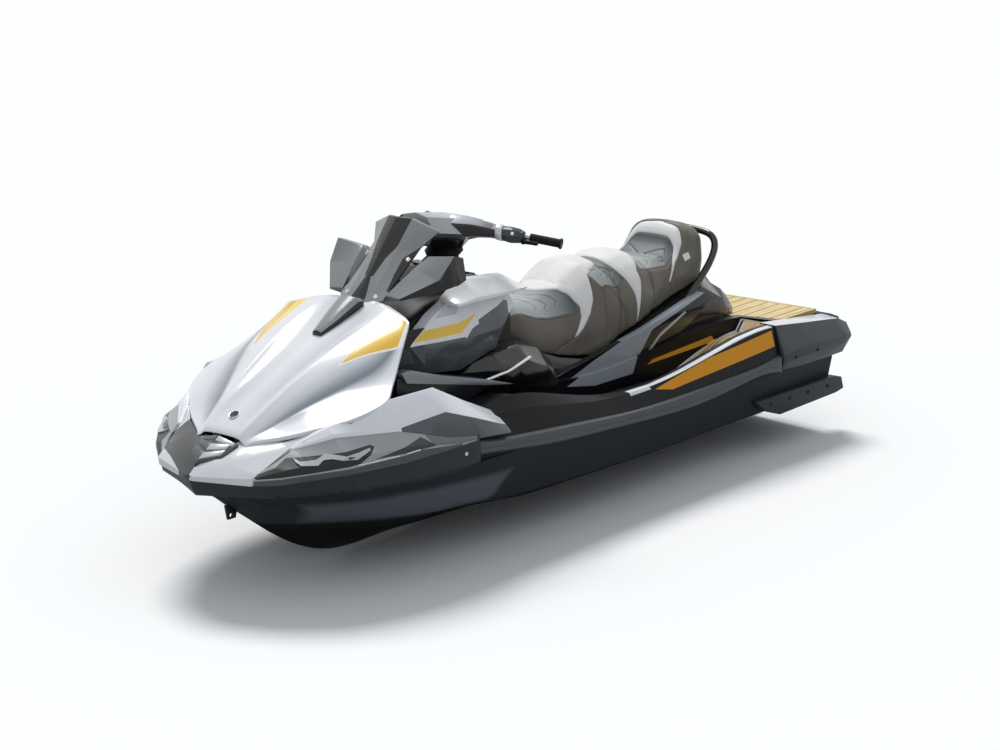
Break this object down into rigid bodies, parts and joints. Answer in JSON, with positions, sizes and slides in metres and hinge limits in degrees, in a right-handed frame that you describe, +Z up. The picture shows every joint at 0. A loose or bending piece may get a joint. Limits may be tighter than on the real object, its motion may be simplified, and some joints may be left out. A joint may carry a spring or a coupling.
{
  "type": "personal watercraft",
  "caption": "Three-seat personal watercraft with stepped seats, water-jet drive, opening bow hatch, handlebar steering and a rear boarding platform.",
  "frame": {"origin": "amidships on the centreline at the waterline, 250 mm above the keel", "axes": "+X forward to the bow, +Y to port, +Z up"},
  "size_m": [3.5335, 1.2, 1.2653],
  "materials": {
    "hull_gelcoat": "gloss near-black gelcoat",
    "deck_gelcoat": "gloss near-black gelcoat with orange side stripe",
    "white_paint": "pearl white paint",
    "silver_paint": "metallic silver paint",
    "grey_paint": "metallic charcoal paint",
    "grey_plastic": "moulded dark grey plastic",
    "black_plastic": "moulded black plastic",
    "gloss_black": "gloss black cover",
    "screen_plastic": "grey windscreen panel with a black centre band",
    "vinyl": "taupe and white marine vinyl",
    "teak_mat": "tan foam mat with dark grooves",
    "steel": "stainless steel",
    "cast_alloy": "cast aluminium",
    "rubber": "black rubber",
    "display_glass": "dark instrument glass in a black case"
  },
  "bodies": {
    "boat": {"hull": "hull_gelcoat", "deck": "deck_gelcoat", "engine_block": "cast_alloy", "rub_rail": "rubber", "bow_bumper": "grey_plastic", "hatch_hinge": "steel", "fenders": "silver_paint", "bow_cheeks": "grey_paint", "nose_panel": "silver_paint", "nose_vent": "grey_paint", "storage_bin": "black_plastic", "hatch_coaming": "black_plastic", "console": "black_plastic", "console_fairings": "silver_paint", "driver_seat": "vinyl", "middle_seat": "vinyl", "rear_seat": "vinyl", "seat_base": "black_plastic", "side_panels": "silver_paint", "aft_cowl": "gloss_black", "grab_handle": "gloss_black", "stern_corners": "grey_plastic", "platform_mat": "teak_mat", "sponsons": "grey_plastic", "pump_housing": "cast_alloy", "ride_plate": "cast_alloy", "intake_grate": "cast_alloy", "step_brackets": "steel", "column_collar": "black_plastic", "display": "display_glass", "knee_bolsters": "gloss_black", "knee_trims": "grey_paint", "speaker_pods": "gloss_black", "console_winglets": "white_paint", "gunwale_trims": "white_paint", "footwell_mats": "teak_mat", "drain_plugs": "black_plastic", "bow_eye": "steel", "stern_eyes": "steel", "tow_eye": "steel"},
    "steering": {"steering_column": "black_plastic", "handlebar": "steel", "handlebar_cover": "grey_paint", "grips": "rubber", "switch_pods": "black_plastic", "hand_levers": "black_plastic"},
    "nozzle": {"steering_nozzle": "cast_alloy"},
    "bucket": {"reverse_bucket": "cast_alloy"},
    "drive": {"impeller": "steel", "drive_shaft": "steel"},
    "hatch": {"front_hatch": "white_paint", "hatch_latch": "grey_plastic", "windscreen": "screen_plastic", "mirrors": "black_plastic"},
    "step": {"boarding_step": "steel"},
    "glove_lid": {"glove_box_lid": "black_plastic"}
  },
  "joints": [
    {"name": "steering_turn", "type": "hinge", "parent": "boat", "child": "steering", "pos_m": [0.34, 0, 0.75], "axis": [-0.4695, 0, 0.8829], "range_deg": [-25, 25]},
    {"name": "nozzle_steer", "type": "hinge", "parent": "boat", "child": "nozzle", "pos_m": [-1.575, 0, -0.085], "axis": [0, 0, 1], "range_deg": [-20, 20]},
    {"name": "bucket_lower", "type": "hinge", "parent": "boat", "child": "bucket", "pos_m": [-1.6, 0, -0.085], "axis": [0, -1, 0], "range_deg": [0, 70]},
    {"name": "impeller_spin", "type": "hinge", "parent": "boat", "child": "drive", "pos_m": [-1.3, 0, -0.085], "axis": [1, 0, 0], "continuous": true},
    {"name": "hatch_open", "type": "hinge", "parent": "boat", "child": "hatch", "pos_m": [1.55, 0, 0.355], "axis": [0, 1, 0], "range_deg": [0, 50]},
    {"name": "step_fold", "type": "hinge", "parent": "boat", "child": "step", "pos_m": [-1.735, 0, 0], "axis": [0, -1, 0], "range_deg": [0, 150]},
    {"name": "glove_lid_open", "type": "hinge", "parent": "boat", "child": "glove_lid", "pos_m": [0.1238, 0, 0.6142], "axis": [0, -1, 0], "range_deg": [0, 80]}
  ],
  "couplings": [
    {"joint": "nozzle_steer", "follows": "steering_turn", "ratio": -0.8}
  ]
}
